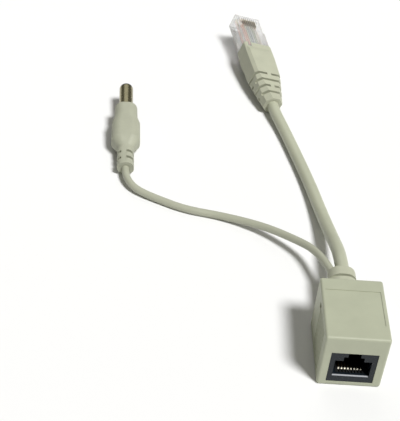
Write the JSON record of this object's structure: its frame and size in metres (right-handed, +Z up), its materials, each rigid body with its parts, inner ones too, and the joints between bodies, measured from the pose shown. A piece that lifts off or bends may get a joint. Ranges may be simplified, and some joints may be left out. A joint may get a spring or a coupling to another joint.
{
  "type": "poe adapter cable",
  "caption": "Splitter cable: a small box with a network socket, a short patch cable ending in a network plug and a thin power lead ending in a round barrel plug.",
  "frame": {"origin": "centre of the box's underside, with both leads left out", "axes": "+Z up, the socket faces -Y, the leads leave the box towards +Y, +X to the right seen from the socket"},
  "size_m": [0.0944, 0.2004, 0.0218],
  "materials": {
    "housing_abs": "fine matt moulded, warm light grey",
    "jack_plastic": "dark slate moulded thermoplastic",
    "insert_plastic": "black moulded thermoplastic",
    "gold_contact": "gold-plated phosphor bronze",
    "board": "green solder mask",
    "cable_pvc": "smooth satin PVC jacket",
    "lead_pvc": "smooth satin PVC jacket",
    "soft_pvc": "soft overmoulded PVC",
    "clear_polycarbonate": "clear glossy",
    "barrel_metal": "nickel-tinted turned brass",
    "tip_plastic": "black",
    "core_orange_white": "polyethylene insulation",
    "core_orange": "polyethylene insulation",
    "core_green_white": "polyethylene insulation",
    "core_blue": "polyethylene insulation",
    "core_blue_white": "polyethylene insulation",
    "core_green": "polyethylene insulation",
    "core_brown_white": "polyethylene insulation",
    "core_brown": "polyethylene insulation",
    "core_red": "PVC insulation",
    "core_black": "PVC insulation"
  },
  "bodies": {
    "root": {"housing_shell": "housing_abs", "rear_cover": "housing_abs", "cable_grommet": "soft_pvc", "jack_body": "jack_plastic", "jack_contact_carrier": "insert_plastic", "circuit_board": "board", "patch_cable": "cable_pvc", "dc_lead": "lead_pvc", "plug_body": "clear_polycarbonate", "plug_boot": "soft_pvc", "dc_plug_grip": "soft_pvc", "dc_plug_sleeve": "barrel_metal", "dc_plug_insulator": "tip_plastic", "dc_plug_socket": "barrel_metal", "jack_contact_1": "gold_contact", "data_core_1": "core_orange_white", "plug_blade_1": "gold_contact", "plug_core_1": "core_orange_white", "jack_contact_2": "gold_contact", "data_core_2": "core_orange", "plug_blade_2": "gold_contact", "plug_core_2": "core_orange", "jack_contact_3": "gold_contact", "data_core_3": "core_green_white", "plug_blade_3": "gold_contact", "plug_core_3": "core_green_white", "jack_contact_4": "gold_contact", "data_core_4": "core_blue", "plug_blade_4": "gold_contact", "plug_core_4": "core_blue", "jack_contact_5": "gold_contact", "data_core_5": "core_blue_white", "plug_blade_5": "gold_contact", "plug_core_5": "core_blue_white", "jack_contact_6": "gold_contact", "data_core_6": "core_green", "plug_blade_6": "gold_contact", "plug_core_6": "core_green", "jack_contact_7": "gold_contact", "data_core_7": "core_brown_white", "plug_blade_7": "gold_contact", "plug_core_7": "core_brown_white", "jack_contact_8": "gold_contact", "data_core_8": "core_brown", "plug_blade_8": "gold_contact", "plug_core_8": "core_brown", "power_core_1": "core_red", "power_core_2": "core_black"}
  },
  "joints": []
}
